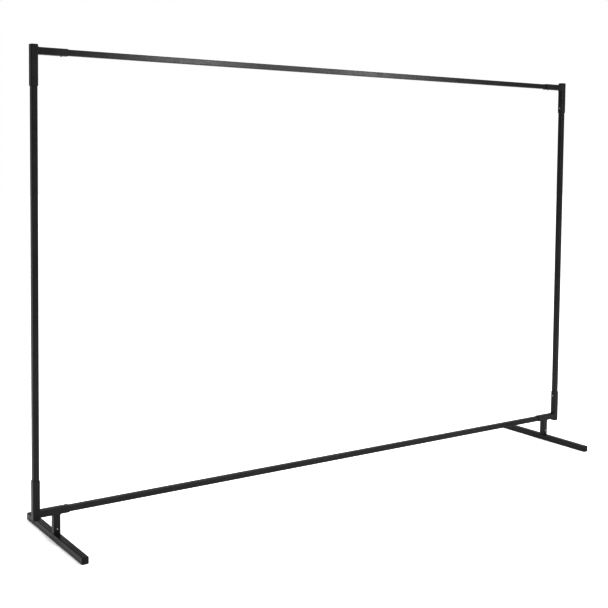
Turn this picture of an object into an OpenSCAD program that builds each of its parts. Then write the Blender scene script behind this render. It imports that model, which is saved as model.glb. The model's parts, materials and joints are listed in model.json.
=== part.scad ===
// Free-standing frame of a welding curtain screen: four square tubes clamped into
// welded corner connectors, on two removable cross feet.
// Origin on the floor, midway between the feet. +X runs along the rails, +Z is up.

/* [Frame] */
// Distance between the centre lines of the two uprights
frame_w = 3200; // [1600:50:3600]
// Distance between the centre lines of the two rails
frame_h = 1950; // [1200:50:2200]
// Height of the bottom rail's centre line above the floor
rail_lift = 130; // [115:5:180]

/* [Tube] */
// Outside width of the frame's square tube
tube_w = 25; // [20:1:32]
// Wall of the frame's square tube
tube_wall = 1.5; // [1:0.5:2.5]
// Outside corner radius of the frame's square tube
tube_r = 2.5; // [1.5:0.5:3]

/* [Corner connectors] */
// Wall of the sleeves that the tubes slide into
sleeve_wall = 2; // [1.5:0.5:3]
// Gap on each side between a tube and the sleeve around it
fit_gap = 0.5; // [0.3:0.1:0.8]
// Reach of a sleeve from the crossing of the two centre lines
sleeve_reach = 145; // [110:5:200]
// How far the upright's sleeve runs on past the rail's centre line
sleeve_overhang = 24; // [20:1:40]
// Leg of the weld fillets
weld_leg = 3; // [2:0.5:4]

/* [Feet] */
// Overall length of a foot, end plugs included
foot_len = 640; // [400:10:900]
// Distance of a foot's centre line inboard of the upright's
post_inset = 90; // [60:5:100]
// Gap left between a post and its foot for the weld at the stub's base
post_gap = 3.5; // [3:0.5:6]

/* [End plugs] */
// Thickness of a plug's visible cap
plug_cap = 3; // [2:0.5:4]
// Depth that a plug reaches into its tube
plug_depth = 12; // [8:1:15]
// Wall of a plug's hollow skirt
plug_wall = 2; // [1.5:0.5:3]

/* [Clamp screws] */
// Thread diameter of the socket set screws
screw_d = 8; // [6:1:8]
// Length of a set screw
screw_len = 6; // [5:1:8]
// Distance of a screw from the open end of its sleeve
screw_inset = 25; // [20:1:30]
// Distance of a post's screw from the post's lower end
post_screw_inset = 20; // [15:1:30]
// Width across the flats of the hexagon socket
socket_flats = 4; // [3:0.5:4]
// Depth of the hexagon socket
socket_depth = 3; // [2:0.5:3.5]

/* [Hidden] */
$fn = 48;

// radial clearance of a set screw in its tapped hole
thread_gap = 0.05;
// gap between a tube's end and its stop, and between a screw's tip and the tube
seat_gap = 0.2;
// chamfer on both ends of a set screw
screw_chamfer = 0.6;
// step that stands for the rounding of a plug's outer edge
plug_edge = 1;
// centre and radius of the arc that hollows a fillet's face, in weld legs
hollow_centre = 1.2;
hollow_r = 0.85;
// outside corner radius of a plug's skirt, and its play in the tube
plug_skirt_r = 2.5;
plug_play = 0.1;
// extra length that carries a cutting shape clear of the faces it cuts
clear = 1;

sleeve_bore = tube_w + 2 * fit_gap;
sleeve_w = sleeve_bore + 2 * sleeve_wall;
sleeve_r = tube_r + sleeve_wall / 2;
half_sleeve = sleeve_w / 2;
half_tube = tube_w / 2;
half_w = frame_w / 2;
top_z = rail_lift + frame_h;

upright_len = frame_h + 2 * (sleeve_overhang - plug_depth - seat_gap);
rail_len = frame_w - 2 * (half_sleeve + seat_gap);
// the feet are cut from the same tube as the sleeves
foot_w = sleeve_w;
stub_len = rail_lift - half_sleeve - foot_w - seat_gap;
post_len = rail_lift - half_sleeve - foot_w - post_gap;
post_screw_z = foot_w + post_gap + post_screw_inset;
foot_tube_len = foot_len - 2 * plug_cap;

steel_black = [0.10, 0.10, 0.11];
plug_black = [0.06, 0.06, 0.06];
screw_grey = [0.42, 0.42, 0.43];

LEFT = -1;
RIGHT = 1;
BOTTOM = 0;
TOP = 1;

// ---- shared shapes -------------------------------------------------------

// Square outline with round corners, centred on the origin.
module round_square(width, radius) {
    square([width, width - 2 * radius], center = true);
    square([width - 2 * radius, width], center = true);
    for (x = [-1, 1], y = [-1, 1])
        translate([x * (width / 2 - radius), y * (width / 2 - radius)])
            circle(r = radius);
}

// Solid bar of a tube's outside shape, along +Z from the origin.
module square_bar(width, radius, length) {
    linear_extrude(height = length) round_square(width, radius);
}

// Square tube along +Z from the origin.
module square_tube(width, wall, radius, length) {
    difference() {
        square_bar(width, radius, length);
        translate([0, 0, -clear])
            square_bar(width - 2 * wall, radius - wall / 2, length + 2 * clear);
    }
}

module frame_tube(length) {
    color(steel_black) square_tube(tube_w, tube_wall, tube_r, length);
}

module sleeve_tube(length) {
    square_tube(sleeve_w, sleeve_wall, sleeve_r, length);
}

// Hollow plug with its cap's outer face at z = -plug_cap and its skirt up +Z.
module end_plug(width, radius, bore) {
    color(plug_black) {
        translate([0, 0, plug_edge - plug_cap])
            square_bar(width, radius, plug_cap - plug_edge);
        translate([0, 0, -plug_cap])
            square_bar(width - 2 * plug_edge, radius, plug_edge);
        square_tube(bore - 2 * plug_play, plug_wall, plug_skirt_r, plug_depth);
    }
}

// Socket set screw along +X, its tip just clear of a tube centred on the origin.
module set_screw() {
    tip = half_tube + seat_gap;
    body_r = screw_d / 2 - thread_gap;
    color(screw_grey)
        translate([tip, 0, 0]) rotate([0, 90, 0])
            difference() {
                union() {
                    cylinder(r1 = body_r - screw_chamfer, r2 = body_r, h = screw_chamfer);
                    translate([0, 0, screw_chamfer])
                        cylinder(r = body_r, h = screw_len - 2 * screw_chamfer);
                    translate([0, 0, screw_len - screw_chamfer])
                        cylinder(r1 = body_r, r2 = body_r - screw_chamfer, h = screw_chamfer);
                }
                translate([0, 0, screw_len - socket_depth])
                    cylinder(d = socket_flats / cos(30), h = socket_depth + clear, $fn = 6);
            }
}

// Cutter for the tapped hole in a sleeve's +X wall.
module tapped_hole() {
    translate([half_tube, 0, 0]) rotate([0, 90, 0])
        cylinder(d = screw_d, h = half_sleeve - half_tube + clear);
}

// ---- corner connectors ---------------------------------------------------
// A connector is drawn once about the crossing of its centre lines, with local
// +X along the rail and +Z along the upright, both towards the curtain opening.

module at_corner(side, level) {
    translate([side * half_w, 0, level == TOP ? top_z : rail_lift])
        mirror([side == RIGHT ? 1 : 0, 0, 0])
            mirror([0, 0, level == TOP ? 1 : 0])
                children();
}

module upright_sleeve() {
    color(steel_black)
        difference() {
            translate([0, 0, -sleeve_overhang])
                sleeve_tube(sleeve_overhang + sleeve_reach);
            translate([0, 0, sleeve_reach - screw_inset]) tapped_hole();
        }
}

module rail_sleeve() {
    color(steel_black)
        difference() {
            translate([half_sleeve, 0, 0]) rotate([0, 90, 0])
                sleeve_tube(sleeve_reach - half_sleeve);
            translate([sleeve_reach - screw_inset, 0, 0]) rotate([0, -90, 0]) tapped_hole();
        }
}

module upright_screw() {
    translate([0, 0, sleeve_reach - screw_inset]) set_screw();
}

module rail_screw() {
    translate([sleeve_reach - screw_inset, 0, 0]) rotate([0, -90, 0]) set_screw();
}

// One straight fillet in the angle between +X and +Z, centred along Y.
module fillet(length) {
    rotate([90, 0, 0]) translate([0, 0, -length / 2]) linear_extrude(height = length)
        difference() {
            square(weld_leg);
            translate([weld_leg * hollow_centre, weld_leg * hollow_centre])
                circle(r = weld_leg * hollow_r);
        }
}

// Bead that fills the groove beside a sleeve's rounded edge, along Z.
// Its section is in the quarter x < 0, y < 0 of a corner at the origin.
module groove_bead(length) {
    translate([0, 0, -length / 2]) linear_extrude(height = length)
        difference() {
            translate([-sleeve_r, -sleeve_r]) square(sleeve_r);
            translate([-sleeve_r, -sleeve_r]) circle(r = sleeve_r);
        }
}

// Weld all round the butt joint between a sleeve's end and another's flat side.
// The flat side is the plane x = 0, and the butted sleeve runs along +X.
module butt_weld() {
    flat = sleeve_w - 2 * sleeve_r;
    for (side = [-1, 1]) {
        mirror([0, 0, side == 1 ? 0 : 1])
            translate([0, 0, half_sleeve]) fillet(flat);
        mirror([0, side == 1 ? 0 : 1, 0])
            translate([0, half_sleeve, 0]) groove_bead(flat);
    }
}

module corner_weld() {
    color(steel_black) translate([half_sleeve, 0, 0]) butt_weld();
}

module corner_plug() {
    translate([0, 0, -sleeve_overhang]) end_plug(sleeve_w, sleeve_r, sleeve_bore);
}

// ---- posts and feet ------------------------------------------------------
// Drawn on the foot's own centre line, at x = 0.

module at_foot(side) {
    translate([side * (half_w - post_inset), 0, 0]) children();
}

module post() {
    color(steel_black)
        difference() {
            translate([0, 0, foot_w + post_gap]) sleeve_tube(post_len);
            translate([0, 0, post_screw_z]) rotate([0, 0, -90]) tapped_hole();
        }
}

module post_weld() {
    color(steel_black)
        translate([0, 0, rail_lift - half_sleeve]) rotate([0, 90, 0]) butt_weld();
}

module post_screw() {
    translate([0, 0, post_screw_z]) rotate([0, 0, -90]) set_screw();
}

module foot_tube() {
    color(steel_black)
        translate([0, foot_tube_len / 2, foot_w / 2]) rotate([90, 0, 0]) sleeve_tube(foot_tube_len);
}

module foot_stub() {
    translate([0, 0, foot_w]) frame_tube(stub_len);
}

module foot_weld() {
    flat = tube_w - 2 * tube_r;
    color(steel_black)
        for (turn = [90, -90])
            rotate([0, 0, turn]) translate([half_tube, 0, foot_w]) fillet(flat);
}

module foot_plugs() {
    for (turn = [0, 180])
        rotate([0, 0, turn]) translate([0, -foot_tube_len / 2, foot_w / 2])
            rotate([-90, 0, 0]) end_plug(sleeve_w, sleeve_r, sleeve_bore);
}

// ---- nodes ---------------------------------------------------------------

module upright() {
    translate([0, 0, rail_lift - (upright_len - frame_h) / 2]) frame_tube(upright_len);
}

module rail() {
    translate([-rail_len / 2, 0, 0]) rotate([0, 90, 0]) frame_tube(rail_len);
}

module left_upright() { translate([-half_w, 0, 0]) upright(); }
module right_upright() { translate([half_w, 0, 0]) upright(); }
module top_rail() { translate([0, 0, top_z]) rail(); }
module bottom_rail() { translate([0, 0, rail_lift]) rail(); }

module bottom_left_upright_sleeve() { at_corner(LEFT, BOTTOM) upright_sleeve(); }
module bottom_right_upright_sleeve() { at_corner(RIGHT, BOTTOM) upright_sleeve(); }
module top_left_upright_sleeve() { at_corner(LEFT, TOP) upright_sleeve(); }
module top_right_upright_sleeve() { at_corner(RIGHT, TOP) upright_sleeve(); }

module bottom_left_rail_sleeve() { at_corner(LEFT, BOTTOM) rail_sleeve(); }
module bottom_right_rail_sleeve() { at_corner(RIGHT, BOTTOM) rail_sleeve(); }
module top_left_rail_sleeve() { at_corner(LEFT, TOP) rail_sleeve(); }
module top_right_rail_sleeve() { at_corner(RIGHT, TOP) rail_sleeve(); }

module bottom_left_weld() { at_corner(LEFT, BOTTOM) corner_weld(); }
module bottom_right_weld() { at_corner(RIGHT, BOTTOM) corner_weld(); }
module top_left_weld() { at_corner(LEFT, TOP) corner_weld(); }
module top_right_weld() { at_corner(RIGHT, TOP) corner_weld(); }

module bottom_left_plug() { at_corner(LEFT, BOTTOM) corner_plug(); }
module bottom_right_plug() { at_corner(RIGHT, BOTTOM) corner_plug(); }
module top_left_plug() { at_corner(LEFT, TOP) corner_plug(); }
module top_right_plug() { at_corner(RIGHT, TOP) corner_plug(); }

module left_post() { at_foot(LEFT) post(); }
module right_post() { at_foot(RIGHT) post(); }
module left_post_weld() { at_foot(LEFT) post_weld(); }
module right_post_weld() { at_foot(RIGHT) post_weld(); }

module left_foot_tube() { at_foot(LEFT) foot_tube(); }
module right_foot_tube() { at_foot(RIGHT) foot_tube(); }
module left_foot_stub() { at_foot(LEFT) foot_stub(); }
module right_foot_stub() { at_foot(RIGHT) foot_stub(); }
module left_foot_weld() { at_foot(LEFT) foot_weld(); }
module right_foot_weld() { at_foot(RIGHT) foot_weld(); }
module left_foot_plugs() { at_foot(LEFT) foot_plugs(); }
module right_foot_plugs() { at_foot(RIGHT) foot_plugs(); }

module bottom_left_upright_screw() { at_corner(LEFT, BOTTOM) upright_screw(); }
module bottom_right_upright_screw() { at_corner(RIGHT, BOTTOM) upright_screw(); }
module top_left_upright_screw() { at_corner(LEFT, TOP) upright_screw(); }
module top_right_upright_screw() { at_corner(RIGHT, TOP) upright_screw(); }
module bottom_left_rail_screw() { at_corner(LEFT, BOTTOM) rail_screw(); }
module bottom_right_rail_screw() { at_corner(RIGHT, BOTTOM) rail_screw(); }
module top_left_rail_screw() { at_corner(LEFT, TOP) rail_screw(); }
module top_right_rail_screw() { at_corner(RIGHT, TOP) rail_screw(); }
module left_post_screw() { at_foot(LEFT) post_screw(); }
module right_post_screw() { at_foot(RIGHT) post_screw(); }

left_upright();
right_upright();
top_rail();
bottom_rail();
bottom_left_upright_sleeve();
bottom_right_upright_sleeve();
top_left_upright_sleeve();
top_right_upright_sleeve();
bottom_left_rail_sleeve();
bottom_right_rail_sleeve();
top_left_rail_sleeve();
top_right_rail_sleeve();
bottom_left_weld();
bottom_right_weld();
top_left_weld();
top_right_weld();
bottom_left_plug();
bottom_right_plug();
top_left_plug();
top_right_plug();
left_post();
right_post();
left_post_weld();
right_post_weld();
left_foot_tube();
right_foot_tube();
left_foot_stub();
right_foot_stub();
left_foot_weld();
right_foot_weld();
left_foot_plugs();
right_foot_plugs();
bottom_left_upright_screw();
bottom_right_upright_screw();
top_left_upright_screw();
top_right_upright_screw();
bottom_left_rail_screw();
bottom_right_rail_screw();
top_left_rail_screw();
top_right_rail_screw();
left_post_screw();
right_post_screw();
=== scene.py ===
"""Looks for a free-standing welding screen frame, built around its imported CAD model.

The tubes and sleeves keep their CAD meshes and get a powder-coat material. The welds, set screws and
end plugs are rebuilt here in mesh code, because a bead's ripples, a thread and a moulded cap need it.
Everything is in metres in the model's own frame: +X along the rails, +Z up, origin on the floor.
"""

import json
import math

import bmesh
import bpy
from mathutils import Matrix, Vector, noise


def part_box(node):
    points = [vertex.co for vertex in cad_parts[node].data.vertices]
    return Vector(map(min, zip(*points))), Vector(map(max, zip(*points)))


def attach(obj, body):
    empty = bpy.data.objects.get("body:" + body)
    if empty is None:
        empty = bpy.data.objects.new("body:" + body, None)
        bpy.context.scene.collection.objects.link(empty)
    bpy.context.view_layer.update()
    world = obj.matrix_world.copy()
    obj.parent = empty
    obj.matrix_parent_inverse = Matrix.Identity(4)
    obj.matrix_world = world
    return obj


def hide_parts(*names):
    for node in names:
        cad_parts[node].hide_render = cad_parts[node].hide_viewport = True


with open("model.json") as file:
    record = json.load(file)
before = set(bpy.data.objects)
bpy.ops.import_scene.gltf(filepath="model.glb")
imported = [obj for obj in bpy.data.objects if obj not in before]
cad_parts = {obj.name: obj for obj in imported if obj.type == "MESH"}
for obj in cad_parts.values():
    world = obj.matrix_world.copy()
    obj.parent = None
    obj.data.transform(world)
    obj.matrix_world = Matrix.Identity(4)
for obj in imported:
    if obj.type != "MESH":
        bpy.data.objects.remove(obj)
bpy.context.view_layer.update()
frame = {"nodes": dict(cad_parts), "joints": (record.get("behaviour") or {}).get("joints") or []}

MM = 0.001

# ---- camera ----------------------------------------------------------------

CAMERA_AT = Vector((-3.1113, -4.1758, 1.6355))
CAMERA_YAW = math.radians(34.564)  # from +Y towards +X
CAMERA_PITCH = math.radians(-3.246)
CAMERA_ROLL = math.radians(0.585)
SENSOR_MM = 36.0
LENS_MM = 61.13
SHIFT_Y = -0.1388
CLIP_NEAR = 0.05
CLIP_FAR = 200

# ---- studio: a brightness of 1 is the white background's -------------------

DOME_LOW = 0.6  # what gloss sees at the horizon
DOME_HIGH = 0.9  # and from DOME_HIGH_AT up
DOME_HIGH_AT = 0.8  # as a share of the dome's height
DOME_ON_FLOOR = 1.22  # the even light that falls on everything matt
VIEW_GAMMA = 0.62
FLOOR_HALF = 40.0
FLOOR_DROP = 0.2 * MM  # keeps the floor clear of the feet's undersides
FLOOR_GREY = 0.94

OVERHEAD_AT = (0, 0, 5.0)
OVERHEAD_SIZE = (6.0, 4.0)
OVERHEAD_RADIANCE = 1.6
STRIPS = (("strip_near", 1.4, -0.85), ("strip_far", 3.4, 0.15))  # name, its X, the X that it faces
STRIP_Y = -4.2
STRIP_HEIGHT = 2.5
STRIP_AIM_HEIGHT = 2.05
STRIP_SIZE = (0.6, 1.6)
STRIP_RADIANCE = 16.0

# ---- square tubes that the rebuilt parts fit -------------------------------

SLEEVE_W = 30 * MM
SLEEVE_R = 3.5 * MM
SLEEVE_BORE = 26 * MM
SLEEVE_WALL = 2 * MM
TUBE_W = 25 * MM
TUBE_R = 2.5 * MM
TUBE_WALL = 1.5 * MM

# ---- end plug: a crowned cap, and a hollow skirt with fins -----------------

PLUG_CAP = 3 * MM
PLUG_DEPTH = 12 * MM
CAP_EDGE = 1.3 * MM  # radius of the cap's rounded edge
CAP_EDGE_STEPS = 5
CAP_CROWN = 0.5 * MM  # how far the middle of the face stands out
CAP_UNDERCUT = 0.15 * MM  # chamfer under the cap
FACE_STEPS = (0.25, 0.45, 0.65, 0.85, 1.0)  # shares of the way from the dimple to the edge
FACE_SQUARE_AT = 0.75  # share of that way where round outlines have turned square
FACE_CORNER_MIN = 0.4 * MM
FACE_CORNER_LESS = 0.6 * MM  # how much tighter the face's corners are than the side's
DIMPLE_R = 1.6 * MM  # mark left by the moulding gate
DIMPLE_RIM = 1.2 * DIMPLE_R
DIMPLE_STEPS = ((0.35, 0.3), (0.75, 0.28), (1.0, 0.0), (1.15, -0.03))  # share of radius, depth in mm
DIMPLE_GUIDE_W = 6 * MM  # the square whose points are spread round the dimple's circles
DIMPLE_GUIDE_R = 2 * MM
SKIRT_PLAY = 0.9 * MM  # how much narrower than the bore the skirt is
SKIRT_R = 2.3 * MM
SKIRT_WALL = 1.6 * MM
SKIRT_LEAD = 0.8 * MM  # length of the taper at the skirt's end
SKIRT_LEAD_LESS = 1.0 * MM
HOLLOW_R = 1.2 * MM
HOLLOW_FLOOR = 0.6 * MM
FIN_COUNT = 3
FIN_FIRST = 2.2 * MM
FIN_PITCH = 3.0 * MM
FIN_REACH = 0.8 * MM  # how much wider than the skirt a fin is
FIN_STEPS = ((0.0, 0.0), (0.3, 1.0), (0.7, 1.0), (1.6, 0.0))  # mm along it, share of its reach

# ---- set screw: M8 x 6 mm with a hexagon socket ----------------------------

SCREW_R = 3.95 * MM
SCREW_LEN = 6 * MM
SCREW_AROUND = 48  # points round it
THREAD_PITCH = 1.25 * MM
THREAD_DEPTH = 0.6 * MM
THREAD_ROWS = 8  # rows of points in each pitch
THREAD_CREST = 0.12  # share of the pitch that is flat crest
THREAD_FLANKS = 0.76
CHAMFER_DEPTH = 0.35 * MM  # below the thread's root, at each end
CHAMFER_SLOPE = 1.2
CUP_R = 1.2 * MM
CUP_DEPTH = 0.45 * MM
CUP_RIM_R = 2.0 * MM
SOCKET_FLATS = 4 * MM
SOCKET_DEPTH = 3 * MM
SOCKET_LIP = 0.18 * MM
SOCKET_WALL_SHORT = 0.3 * MM  # how far short of the socket's depth its flat walls stop
DRILL_R = 0.46 * SOCKET_FLATS  # the drilled hole that the socket was broached in
DRILL_SHORT = 0.25 * MM  # its cone starts this far above the socket's depth
DRILL_TIP_R = 0.3 * MM
DRILL_TIP_PAST = 0.4 * MM  # and ends this far below it

# ---- weld bead -------------------------------------------------------------

SLEEVE_BEAD = 2.3 * MM  # radius
FOOT_BEAD = 1.9 * MM
BEAD_SECTION = 14  # points round it
BEAD_STEP = 0.55 * MM  # distance between its sections
BEAD_WIDE = 1.15  # how much wider than it is high
BEAD_FILLET_OUT = 0.5 * MM  # from the corner that a fillet fills to the bead's middle
BEAD_GROOVE_DEEP = 0.9 * MM  # how far the middle lies under a groove's tube end
BEAD_GROOVE_IN = 0.72  # and in from its side, as a share of the wall
BEAD_FILLET_LEAN = 0.9  # how far a fillet's crown leans away from the flat
BEAD_TURN = 2.2  # stretch round a tube's corner, in radii, where a fillet becomes a groove
ROOT_IN_GROOVE = 0.15  # depth of the buried half, as a share of the radius
ROOT_MORE_IN_FILLET = 0.55
RIPPLE_PITCH = 2.6 * MM
RIPPLE_BOW = 1.1 * MM  # how far a ripple's middle runs ahead of its edges
RIPPLE_SHARPNESS = 0.6  # the lower, the narrower the valleys between ripples
RIPPLE_LOW = 0.90  # share of the bead's radius in a valley
RIPPLE_RISE = 0.13  # and what a ripple adds to it
WANDER_LEN = 9 * MM  # length over which the hand's pace and the bead's size drift
WANDER_IN_PHASE = 0.25
WANDER_IN_SIZE = 0.07
CORNER_SEED_STEP = 3.7  # a noise seed of its own for every bead
POST_SEED = 21.3
POST_SEED_STEP = 2.9
FOOT_SEED = 33.1
FOOT_SEED_STEP = 2.3

# ---- all rebuilt parts -----------------------------------------------------

SMOOTH_BELOW = math.radians(38)
MERGE_BELOW = 0.001 * MM

CORNERS = ("bottom_left", "bottom_right", "top_left", "top_right")
SIDES = ("left", "right")


# ---- mesh helpers ----------------------------------------------------------

def make_piece(name, build, place, body, slot, *stands_for):
    """One finished piece: build(bm) fills a mesh, place puts it in the frame, and body carries it."""
    mesh = bpy.data.meshes.new(name)
    bm = bmesh.new()
    build(bm)
    bmesh.ops.remove_doubles(bm, verts=bm.verts, dist=MERGE_BELOW)
    bmesh.ops.recalc_face_normals(bm, faces=bm.faces)
    bmesh.ops.transform(bm, matrix=place, verts=bm.verts)
    bm.to_mesh(mesh)
    bm.free()
    mesh.shade_smooth()
    mesh.set_sharp_from_angle(angle=SMOOTH_BELOW)
    mesh.materials.append(MATERIALS[slot])
    piece = bpy.data.objects.new(name, mesh)
    bpy.context.scene.collection.objects.link(piece)
    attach(piece, body)
    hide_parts(*stands_for)


def loft(bm, loops, closed=False):
    """Joins loops of equal length into a skin. Open ends are closed with a fan to their middle."""
    rings = [[bm.verts.new(p) for p in loop] for loop in loops]
    pairs = list(zip(rings, rings[1:]))
    if closed:
        pairs.append((rings[-1], rings[0]))
    for low, high in pairs:
        for i in range(len(low)):
            j = (i + 1) % len(low)
            bm.faces.new((low[i], low[j], high[j], high[i]))
    if not closed:
        for ring in (rings[0], rings[-1]):
            middle = bm.verts.new(sum((v.co for v in ring), Vector()) / len(ring))
            for i in range(len(ring)):
                bm.faces.new((ring[i], ring[(i + 1) % len(ring)], middle))


def round_square(width, radius, z, steps=6):
    """Points of a square outline with round corners, centred on Z, at height z."""
    reach = width / 2 - radius
    points = []
    for quarter in range(4):
        middle = math.radians(45 + 90 * quarter)
        cx = math.copysign(reach, math.cos(middle))
        cy = math.copysign(reach, math.sin(middle))
        for k in range(steps + 1):
            a = math.radians(90 * quarter + 90 * k / steps)
            points.append(Vector((cx + radius * math.cos(a), cy + radius * math.sin(a), z)))
    return points


def towards_circle(points, radius, share):
    """The same points moved a share of the way to a circle of that radius round Z."""
    moved = []
    for p in points:
        flat = Vector((p.x, p.y, 0))
        moved.append(p.lerp(flat.normalized() * radius + Vector((0, 0, p.z)), share))
    return moved


# ---- end plugs -------------------------------------------------------------

def cap_loops():
    """The cap's outlines, from the middle of its gate dimple, over the crown and round its edge."""
    loops = []
    for share, depth in DIMPLE_STEPS:
        guide = round_square(DIMPLE_GUIDE_W, DIMPLE_GUIDE_R, -PLUG_CAP + depth * MM)
        loops.append(towards_circle(guide, DIMPLE_R * share, 1.0))
    face = SLEEVE_W / 2 - CAP_EDGE
    for share in FACE_STEPS:
        half = DIMPLE_RIM + (face - DIMPLE_RIM) * share
        z = -PLUG_CAP + CAP_CROWN * share ** 2
        corner = max(FACE_CORNER_MIN, min(SLEEVE_R - FACE_CORNER_LESS, half * 0.5))
        square = round_square(2 * half, corner, z)
        loops.append(towards_circle(square, half, max(0.0, FACE_SQUARE_AT - share)))
    for k in range(1, CAP_EDGE_STEPS + 1):
        a = math.radians(90 * k / CAP_EDGE_STEPS)
        inset = CAP_EDGE * (1 - math.sin(a))
        z = -PLUG_CAP + CAP_CROWN + CAP_EDGE * (1 - math.cos(a))
        loops.append(round_square(SLEEVE_W - 2 * inset, SLEEVE_R - inset * 0.5, z))
    loops.append(round_square(SLEEVE_W, SLEEVE_R, -CAP_UNDERCUT))
    loops.append(round_square(SLEEVE_W - 2 * CAP_UNDERCUT, SLEEVE_R, 0))
    return loops


def skirt_loops():
    """The skirt's outlines: from the cap along its fins to the open end, and back down its hollow."""
    skirt = SLEEVE_BORE - SKIRT_PLAY
    loops = [round_square(skirt, SKIRT_R, 0)]
    for k in range(FIN_COUNT):
        z = FIN_FIRST + FIN_PITCH * k
        for along, reach in FIN_STEPS:
            loops.append(round_square(skirt + FIN_REACH * reach, SKIRT_R, z + along * MM))
    loops.append(round_square(skirt, SKIRT_R, PLUG_DEPTH - SKIRT_LEAD))
    loops.append(round_square(skirt - SKIRT_LEAD_LESS, SKIRT_R, PLUG_DEPTH))
    hollow = skirt - 2 * SKIRT_WALL
    loops.append(round_square(hollow, HOLLOW_R, PLUG_DEPTH))
    loops.append(round_square(hollow, HOLLOW_R, HOLLOW_FLOOR))
    return loops


def build_plug(bm):
    """A moulded end plug along +Z: the cap's face at -Z, its underside on the tube's end at z = 0."""
    loft(bm, cap_loops() + skirt_loops())


def build_plug_pair(bm, front, back):
    """The two plugs of a foot, whose tube ends at the points front and back."""
    for end, way in ((front, 1), (back, -1)):
        one = bmesh.new()
        build_plug(one)
        bmesh.ops.transform(one, matrix=pointing((0, way, 0), end), verts=one.verts)
        held = bpy.data.meshes.new("held")
        one.to_mesh(held)
        one.free()
        bm.from_mesh(held)
        bpy.data.meshes.remove(held)


# ---- set screws ------------------------------------------------------------

def ring(radius_at, z):
    """A loop round Z at height z, whose radius at each angle is radius_at(angle)."""
    points = []
    for i in range(SCREW_AROUND):
        a = 2 * math.pi * i / SCREW_AROUND
        points.append(Vector((radius_at(a) * math.cos(a), radius_at(a) * math.sin(a), z)))
    return points


def circle(radius, z):
    return ring(lambda a: radius, z)


def thread_at(angle, z):
    """The thread's radius at an angle and height, cut down by the chamfers at the screw's ends."""
    phase = (z / THREAD_PITCH - angle / (2 * math.pi)) % 1.0
    fall = min(1.0, max(0.0, (abs(phase - 0.5) * 2 - THREAD_CREST) / THREAD_FLANKS))
    from_end = min(z, SCREW_LEN - z)
    chamfer = SCREW_R - THREAD_DEPTH - CHAMFER_DEPTH + from_end * CHAMFER_SLOPE
    return min(SCREW_R - THREAD_DEPTH * fall, chamfer)


def hexagon_at(angle):
    step = math.pi / 3
    return SOCKET_FLATS / 2 / math.cos((angle + step / 2) % step - step / 2)


def build_screw(bm):
    """A socket set screw along +Z, its tip at the origin: cup point, rolled thread, hexagon socket."""
    loops = [circle(CUP_R, CUP_DEPTH), circle(CUP_RIM_R, 0.0)]
    rows = round(SCREW_LEN / THREAD_PITCH * THREAD_ROWS)
    for row in range(rows + 1):
        z = SCREW_LEN * row / rows
        loops.append(ring(lambda a, z=z: thread_at(a, z), z))
    floor_z = SCREW_LEN - SOCKET_DEPTH
    loops.append(ring(lambda a: hexagon_at(a) + SOCKET_LIP, SCREW_LEN))
    loops.append(ring(hexagon_at, SCREW_LEN - SOCKET_LIP))
    loops.append(ring(hexagon_at, floor_z + SOCKET_WALL_SHORT))
    loops.append(circle(DRILL_R, floor_z + DRILL_SHORT))
    loops.append(circle(DRILL_TIP_R, floor_z - DRILL_TIP_PAST))
    loft(bm, loops)


# ---- weld beads ------------------------------------------------------------

def bead_ring(path, outward, root, radius, seed):
    """Loops of a rippled bead laid along a closed path.

    outward is the way its crown faces, and root is how deep its buried half goes as a share of its
    radius: one of each for every point of the path.
    """
    count = len(path)
    travelled = 0.0
    loops = []
    for i, p in enumerate(path):
        ahead = path[(i + 1) % count]
        behind = path[i - 1]
        travelled += (p - behind).length if i else 0.0
        along = (ahead - behind).normalized()
        up = (outward[i] - along * outward[i].dot(along)).normalized()
        side = along.cross(up)
        wander = noise.noise(Vector((travelled / WANDER_LEN, seed, 0.0)))
        loop = []
        for k in range(BEAD_SECTION):
            a = 2 * math.pi * k / BEAD_SECTION
            # each ripple is a crescent: its middle runs ahead of its edges
            phase = (travelled - RIPPLE_BOW * math.cos(a)) / RIPPLE_PITCH + WANDER_IN_PHASE * wander
            scallop = abs(math.sin(math.pi * phase)) ** RIPPLE_SHARPNESS
            r = radius * (1 + WANDER_IN_SIZE * wander) * (RIPPLE_LOW + RIPPLE_RISE * scallop)
            rise = math.cos(a) if math.cos(a) > 0 else math.cos(a) * root[i]
            loop.append(p + (up * rise + side * math.sin(a) * BEAD_WIDE) * r)
        loops.append(loop)
    return loops


def in_short_steps(outline):
    """The same closed outline with points about BEAD_STEP apart."""
    points = []
    for i, p in enumerate(outline):
        q = outline[(i + 1) % len(outline)]
        cuts = max(1, round((q - p).length / BEAD_STEP))
        points += [p.lerp(q, k / cuts) for k in range(cuts)]
    return points


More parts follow.
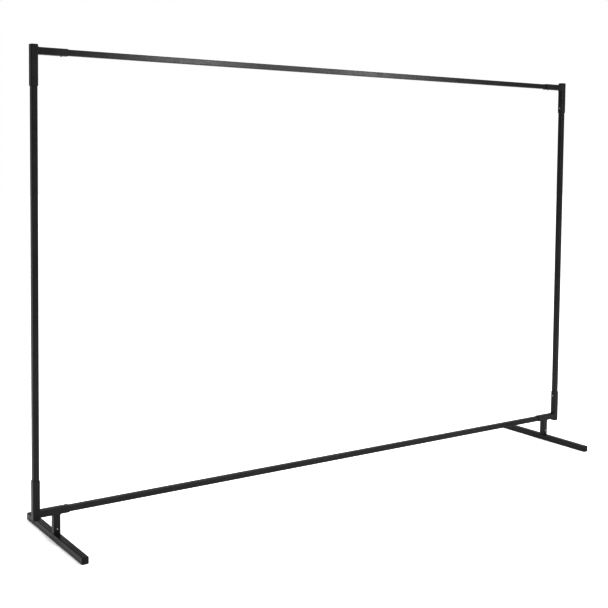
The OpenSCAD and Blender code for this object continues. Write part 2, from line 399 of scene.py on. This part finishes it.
def build_butt_bead(bm, width, radius, wall, bead, seed, flush=True):
    """A bead all round a square tube's end where it meets another tube's flat side at z = 0.

    The two sides along local Y end against a flat, so the bead lies in an inside corner there.
    The other two are flush with an equal tube's sides, so the bead fills a groove and stays low.
    A narrower tube, with flush False, has an inside corner all the way round.
    Its buried half stays within the tube's wall, clear of whatever slides in the bore.
    """
    reach = width / 2 - radius
    path = []
    outward = []
    root = []
    for p in in_short_steps(round_square(width, radius, 0, steps=7)):
        fillet = min(1.0, max(0.0, 0.5 + (abs(p.y) - abs(p.x)) / (BEAD_TURN * radius)))
        fillet = fillet * fillet * (3 - 2 * fillet) if flush else 1.0
        out = Vector((p.x - max(-reach, min(reach, p.x)), p.y - max(-reach, min(reach, p.y)), 0))
        out.normalize()
        in_fillet = p + out * BEAD_FILLET_OUT + Vector((0, 0, BEAD_FILLET_OUT))
        in_groove = p - out * BEAD_GROOVE_IN * wall - Vector((0, 0, BEAD_GROOVE_DEEP))
        path.append(in_groove.lerp(in_fillet, fillet))
        outward.append((out + Vector((0, 0, BEAD_FILLET_LEAN * fillet))).normalized())
        root.append(ROOT_IN_GROOVE + ROOT_MORE_IN_FILLET * fillet)
    loft(bm, bead_ring(path, outward, root, bead, seed), closed=True)


def build_sleeve_bead(bm, seed):
    """The bead round a sleeve's end, flush with the sides of the tube that it meets."""
    build_butt_bead(bm, SLEEVE_W, SLEEVE_R, SLEEVE_WALL, SLEEVE_BEAD, seed)


def build_stub_bead(bm, seed):
    """The bead round a foot's stub, which is narrower than the foot."""
    build_butt_bead(bm, TUBE_W, TUBE_R, TUBE_WALL, FOOT_BEAD, seed, flush=False)


# ---- node materials --------------------------------------------------------

def new_material(name):
    material = bpy.data.materials.new(name)
    material.use_nodes = True
    tree = material.node_tree
    return material, tree, tree.nodes["Principled BSDF"]


def object_noise(tree, scale, detail=2.0, roughness=0.5):
    coords = tree.nodes.get("coords") or tree.nodes.new("ShaderNodeTexCoord")
    coords.name = "coords"
    texture = tree.nodes.new("ShaderNodeTexNoise")
    texture.inputs["Scale"].default_value = scale
    texture.inputs["Detail"].default_value = detail
    texture.inputs["Roughness"].default_value = roughness
    tree.links.new(coords.outputs["Object"], texture.inputs["Vector"])
    return texture.outputs["Fac"]


def map_range(tree, value, taken, given=(0.0, 1.0)):
    """Stretches the range taken, a pair, to the range given, and clamps at its ends."""
    node = tree.nodes.new("ShaderNodeMapRange")
    node.inputs["From Min"].default_value = taken[0]
    node.inputs["From Max"].default_value = taken[1]
    node.inputs["To Min"].default_value = given[0]
    node.inputs["To Max"].default_value = given[1]
    tree.links.new(value, node.inputs["Value"])
    return node.outputs["Result"]


def maths(tree, operation, a, b):
    node = tree.nodes.new("ShaderNodeMath")
    node.operation = operation
    node.use_clamp = True
    for socket, value in zip(node.inputs, (a, b)):
        if isinstance(value, (int, float)):
            socket.default_value = value
        else:
            tree.links.new(value, socket)
    return node.outputs["Value"]


def mix_colour(tree, share, first, second):
    node = tree.nodes.new("ShaderNodeMix")
    node.data_type = "RGBA"
    tree.links.new(share, node.inputs["Factor"])
    for socket, value in ((node.inputs["A"], first), (node.inputs["B"], second)):
        if isinstance(value, tuple):
            socket.default_value = (*value, 1.0)
        else:
            tree.links.new(value, socket)
    return node.outputs["Result"]


def edge_mask(tree, radius, flat_above=0.99, edge_below=0.90):
    """1 on convex edges and 0 on flats, from the dot of a rounded normal with the surface's own."""
    bevel = tree.nodes.new("ShaderNodeBevel")
    bevel.samples = 4
    bevel.inputs["Radius"].default_value = radius
    geometry = tree.nodes.new("ShaderNodeNewGeometry")
    dot = tree.nodes.new("ShaderNodeVectorMath")
    dot.operation = "DOT_PRODUCT"
    tree.links.new(bevel.outputs["Normal"], dot.inputs[0])
    tree.links.new(geometry.outputs["Normal"], dot.inputs[1])
    return map_range(tree, dot.outputs["Value"], (flat_above, edge_below))


def bump(tree, shader, height, strength, distance):
    node = tree.nodes.new("ShaderNodeBump")
    node.inputs["Strength"].default_value = strength
    node.inputs["Distance"].default_value = distance
    tree.links.new(height, node.inputs["Height"])
    tree.links.new(node.outputs["Normal"], shader.inputs["Normal"])


def powder_coat(name, dark, light, rough, wear=0.35):
    """Semi-gloss black powder coat: orange-peel skin, cloudy gloss, and a little rub on the edges."""
    pale_speck = (0.05, 0.05, 0.052)
    rubbed = (0.16, 0.16, 0.165)
    material, tree, shader = new_material(name)
    cloud = object_noise(tree, scale=11.0, detail=5.0, roughness=0.6)
    colour = mix_colour(tree, map_range(tree, cloud, (0.3, 0.7)), dark, light)
    speck = map_range(tree, object_noise(tree, scale=420.0, detail=1.0), (0.66, 0.76), (0.0, 0.35))
    colour = mix_colour(tree, speck, colour, pale_speck)
    scuff = map_range(tree, object_noise(tree, scale=160.0, detail=4.0, roughness=0.7), (0.42, 0.62))
    rub = maths(tree, "MULTIPLY", edge_mask(tree, radius=0.9 * MM), scuff)
    rub = maths(tree, "MULTIPLY", rub, wear)
    colour = mix_colour(tree, rub, colour, rubbed)
    tree.links.new(colour, shader.inputs["Base Color"])
    gloss = map_range(tree, cloud, (0.25, 0.75), (rough - 0.05, rough + 0.07))
    duller = maths(tree, "MULTIPLY", rub, 0.25)
    tree.links.new(maths(tree, "ADD", gloss, duller), shader.inputs["Roughness"])
    shader.inputs["IOR"].default_value = 1.5
    shader.inputs["Specular IOR Level"].default_value = 0.5
    broad = maths(tree, "MULTIPLY", object_noise(tree, scale=520.0, detail=2.0), 0.7)
    fine = maths(tree, "MULTIPLY", object_noise(tree, scale=1900.0, detail=1.0), 0.3)
    bump(tree, shader, maths(tree, "ADD", broad, fine), strength=0.5, distance=0.05 * MM)
    return material


def moulded_plastic(name):
    """Black polyethylene: satin, with fine spark-eroded texture and pale scuffs on its edges."""
    dark = (0.008, 0.008, 0.009)
    light = (0.018, 0.018, 0.019)
    scuffed = (0.09, 0.09, 0.09)
    material, tree, shader = new_material(name)
    cloud = object_noise(tree, scale=60.0, detail=4.0)
    colour = mix_colour(tree, cloud, dark, light)
    scuff = map_range(tree, object_noise(tree, scale=300.0, detail=4.0, roughness=0.7), (0.5, 0.66))
    rub = maths(tree, "MULTIPLY", edge_mask(tree, radius=0.8 * MM), scuff)
    colour = mix_colour(tree, maths(tree, "MULTIPLY", rub, 0.4), colour, scuffed)
    tree.links.new(colour, shader.inputs["Base Color"])
    gloss = map_range(tree, object_noise(tree, scale=90.0, detail=3.0), (0.3, 0.7), (0.46, 0.6))
    tree.links.new(gloss, shader.inputs["Roughness"])
    shader.inputs["IOR"].default_value = 1.49
    grain = object_noise(tree, scale=2600.0, detail=1.0)
    bump(tree, shader, grain, strength=0.5, distance=0.03 * MM)
    return material


def plated_steel(name):
    """Zinc-plated steel: grey metal with a cloudy passivated tone, brighter where a key rubs it."""
    dark = (0.34, 0.345, 0.35)
    light = (0.52, 0.52, 0.51)
    rubbed = (0.7, 0.7, 0.7)
    material, tree, shader = new_material(name)
    cloud = object_noise(tree, scale=260.0, detail=4.0, roughness=0.6)
    colour = mix_colour(tree, cloud, dark, light)
    bright = edge_mask(tree, radius=0.25 * MM)
    colour = mix_colour(tree, maths(tree, "MULTIPLY", bright, 0.5), colour, rubbed)
    tree.links.new(colour, shader.inputs["Base Color"])
    shader.inputs["Metallic"].default_value = 1.0
    gloss = map_range(tree, object_noise(tree, scale=700.0, detail=3.0), (0.3, 0.7), (0.30, 0.44))
    tree.links.new(gloss, shader.inputs["Roughness"])
    grain = object_noise(tree, scale=1500.0, detail=3.0)
    bump(tree, shader, grain, strength=0.4, distance=0.02 * MM)
    return material


MATERIALS = {
    "frame_black": powder_coat(
        "frame_powder_coat", dark=(0.012, 0.012, 0.013), light=(0.021, 0.021, 0.023), rough=0.27,
    ),
    "connector_black": powder_coat(
        "connector_powder_coat", dark=(0.011, 0.011, 0.012), light=(0.020, 0.020, 0.022), rough=0.30,
    ),
    "foot_black": powder_coat(
        "foot_powder_coat", dark=(0.012, 0.012, 0.013), light=(0.023, 0.023, 0.025), rough=0.30, wear=0.5,
    ),
    "weld_black": powder_coat(
        "weld_powder_coat", dark=(0.012, 0.012, 0.013), light=(0.019, 0.019, 0.021), rough=0.27, wear=0.15,
    ),
    "plug_black": moulded_plastic("plug_plastic"),
    "screw_steel": plated_steel("screw_zinc"),
}


def dress_cad_nodes():
    """Gives every CAD node the node material of its own slot."""
    for node in frame["nodes"].values():
        for place in node.material_slots:
            place.material = MATERIALS[place.material.name]


# ---- placing the rebuilt parts ---------------------------------------------

def middle_of(node):
    low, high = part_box(node)
    return (low + high) / 2


def pointing(direction, at):
    """A transform that turns +Z to direction and moves the origin to at."""
    return Matrix.Translation(at) @ Vector(direction).to_track_quat("Z", "Y").to_matrix().to_4x4()


def corner_body(corner):
    return corner + "_corner"


def add_corner_plugs():
    """A plug in the free end of each upright's sleeve: up at the top corners, down at the bottom."""
    for corner in CORNERS:
        node = corner + "_plug"
        low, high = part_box(node)
        is_top = corner.startswith("top")
        at = middle_of(node)
        at.z = high.z - PLUG_CAP if is_top else low.z + PLUG_CAP
        place = pointing((0, 0, -1 if is_top else 1), at)
        make_piece(corner + "_end_plug", build_plug, place, corner_body(corner), "plug_black", node)


def add_foot_plugs():
    """Both plugs of a foot are one piece, like the CAD node that they stand for."""
    for side in SIDES:
        node = side + "_foot_plugs"
        low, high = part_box(node)
        front = middle_of(node)
        front.y = low.y + PLUG_CAP
        back = middle_of(node)
        back.y = high.y - PLUG_CAP
        make_piece(
            side + "_foot_end_plugs",
            lambda bm, front=front, back=back: build_plug_pair(bm, front, back),
            Matrix.Identity(4), side + "_foot", "plug_black", node,
        )


def add_screws():
    """A screw for every hinge of the frame: they are the only parts that turn."""
    for joint in frame["joints"]:
        if joint["type"] != "hinge":
            continue
        node = joint["child"]
        out = Vector(joint["axis"])
        place = pointing(out, middle_of(node) - out * SCREW_LEN / 2)
        make_piece(node + "_threaded", build_screw, place, node, "screw_steel", node)


def add_corner_welds():
    """A bead where each rail's sleeve meets its upright's sleeve."""
    for number, corner in enumerate(CORNERS):
        towards = 1 if corner.endswith("left") else -1
        sleeve = corner + "_rail_sleeve"
        low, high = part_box(sleeve)
        at = middle_of(sleeve)
        at.x = low.x if towards > 0 else high.x
        turn = Matrix(((0, 0, towards), (towards, 0, 0), (0, 1, 0))).to_4x4()
        make_piece(
            corner + "_weld_bead",
            lambda bm, seed=CORNER_SEED_STEP * number: build_sleeve_bead(bm, seed),
            Matrix.Translation(at) @ turn, corner_body(corner), "weld_black", corner + "_weld",
        )


def add_post_welds():
    """A bead where each post meets the sleeve above it."""
    for number, side in enumerate(SIDES):
        _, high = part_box(side + "_post")
        at = middle_of(side + "_post")
        at.z = high.z
        turn = Matrix(((0, 1, 0), (1, 0, 0), (0, 0, -1))).to_4x4()
        make_piece(
            side + "_post_weld_bead",
            lambda bm, seed=POST_SEED + POST_SEED_STEP * number: build_sleeve_bead(bm, seed),
            Matrix.Translation(at) @ turn,
            corner_body("bottom_" + side), "weld_black", side + "_post_weld",
        )


def add_foot_welds():
    """A bead where each stub stands on its foot."""
    for number, side in enumerate(SIDES):
        low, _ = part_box(side + "_foot_stub")
        at = middle_of(side + "_foot_stub")
        at.z = low.z
        make_piece(
            side + "_foot_weld_bead",
            lambda bm, seed=FOOT_SEED + FOOT_SEED_STEP * number: build_stub_bead(bm, seed),
            Matrix.Translation(at), side + "_foot", "weld_black", side + "_foot_weld",
        )


# ---- studio ----------------------------------------------------------------

def make_camera():
    """A camera turned by its yaw, then its pitch, then its roll."""
    data = bpy.data.cameras.new("camera")
    data.sensor_width = SENSOR_MM
    data.lens = LENS_MM
    data.shift_y = SHIFT_Y
    data.clip_start = CLIP_NEAR
    data.clip_end = CLIP_FAR
    camera = bpy.data.objects.new("camera", data)
    bpy.context.scene.collection.objects.link(camera)
    ahead = Vector((
        math.sin(CAMERA_YAW) * math.cos(CAMERA_PITCH),
        math.cos(CAMERA_YAW) * math.cos(CAMERA_PITCH),
        math.sin(CAMERA_PITCH),
    ))
    right = Vector((math.cos(CAMERA_YAW), -math.sin(CAMERA_YAW), 0))
    up = right.cross(ahead)
    rolled_right = right * math.cos(CAMERA_ROLL) + up * math.sin(CAMERA_ROLL)
    rolled_up = up * math.cos(CAMERA_ROLL) - right * math.sin(CAMERA_ROLL)
    turn = Matrix((rolled_right, rolled_up, -ahead)).transposed().to_4x4()
    camera.matrix_world = Matrix.Translation(CAMERA_AT) @ turn
    bpy.context.scene.camera = camera


def make_floor():
    """A large matt floor without any gloss, just under the feet."""
    mesh = bpy.data.meshes.new("floor")
    signs = ((-1, -1), (1, -1), (1, 1), (-1, 1))
    corners = [(x * FLOOR_HALF, y * FLOOR_HALF, -FLOOR_DROP) for x, y in signs]
    mesh.from_pydata(corners, [], [(0, 1, 2, 3)])
    floor = bpy.data.objects.new("floor", mesh)
    bpy.context.scene.collection.objects.link(floor)
    material, _, shader = new_material("floor_paint")
    shader.inputs["Base Color"].default_value = (FLOOR_GREY, FLOOR_GREY, FLOOR_GREY, 1)
    shader.inputs["Roughness"].default_value = 0.9
    shader.inputs["Specular IOR Level"].default_value = 0.0
    mesh.materials.append(material)


def make_world():
    """A white studio: plain white for the camera, even light on what is matt, a graded dome for gloss."""
    world = bpy.data.worlds.new("studio")
    bpy.context.scene.world = world
    world.use_nodes = True
    tree = world.node_tree
    coords = tree.nodes.new("ShaderNodeTexCoord")
    split = tree.nodes.new("ShaderNodeSeparateXYZ")
    tree.links.new(coords.outputs["Generated"], split.inputs["Vector"])
    height = map_range(tree, split.outputs["Z"], (0.0, DOME_HIGH_AT), (DOME_LOW, DOME_HIGH))
    path = tree.nodes.new("ShaderNodeLightPath")
    plain = tree.nodes["Background"]
    plain.inputs["Strength"].default_value = 1.0
    even = tree.nodes.new("ShaderNodeBackground")
    even.inputs["Strength"].default_value = DOME_ON_FLOOR
    graded = tree.nodes.new("ShaderNodeBackground")
    tree.links.new(height, graded.inputs["Strength"])
    for background in (plain, even, graded):
        background.inputs["Color"].default_value = (1, 1, 1, 1)
    by_gloss = tree.nodes.new("ShaderNodeMixShader")
    tree.links.new(path.outputs["Is Glossy Ray"], by_gloss.inputs["Fac"])
    tree.links.new(even.outputs["Background"], by_gloss.inputs[1])
    tree.links.new(graded.outputs["Background"], by_gloss.inputs[2])
    by_camera = tree.nodes.new("ShaderNodeMixShader")
    tree.links.new(path.outputs["Is Camera Ray"], by_camera.inputs["Fac"])
    tree.links.new(by_gloss.outputs["Shader"], by_camera.inputs[1])
    tree.links.new(plain.outputs["Background"], by_camera.inputs[2])
    tree.links.new(by_camera.outputs["Shader"], tree.nodes["World Output"].inputs["Surface"])


def add_softbox(name, at, aim, size, radiance):
    """A rectangular softbox. radiance is how bright its face looks, with the white background at 1."""
    width, height = size
    data = bpy.data.lights.new(name, "AREA")
    data.shape = "RECTANGLE"
    data.size = width
    data.size_y = height
    data.energy = radiance * math.pi * width * height
    light = bpy.data.objects.new(name, data)
    bpy.context.scene.collection.objects.link(light)
    light.location = at
    light.rotation_euler = (Vector(aim) - Vector(at)).to_track_quat("-Z", "Y").to_euler()
    light.visible_camera = False


def make_lights():
    """A broad light overhead, and two upright strips in front of the frame, right of the camera.

    The strips show in the top rail as its two soft highlights.
    """
    add_softbox("overhead", OVERHEAD_AT, (0, 0, 0), OVERHEAD_SIZE, OVERHEAD_RADIANCE)
    for name, x, aim_x in STRIPS:
        at = (x, STRIP_Y, STRIP_HEIGHT)
        add_softbox(name, at, (aim_x, 0, STRIP_AIM_HEIGHT), STRIP_SIZE, STRIP_RADIANCE)


# ---- build -----------------------------------------------------------------

dress_cad_nodes()
add_corner_plugs()
add_foot_plugs()
add_screws()
add_corner_welds()
add_post_welds()
add_foot_welds()
make_camera()
make_floor()
make_world()
make_lights()
bpy.context.scene.view_settings.view_transform = "Standard"
bpy.context.scene.view_settings.gamma = VIEW_GAMMA
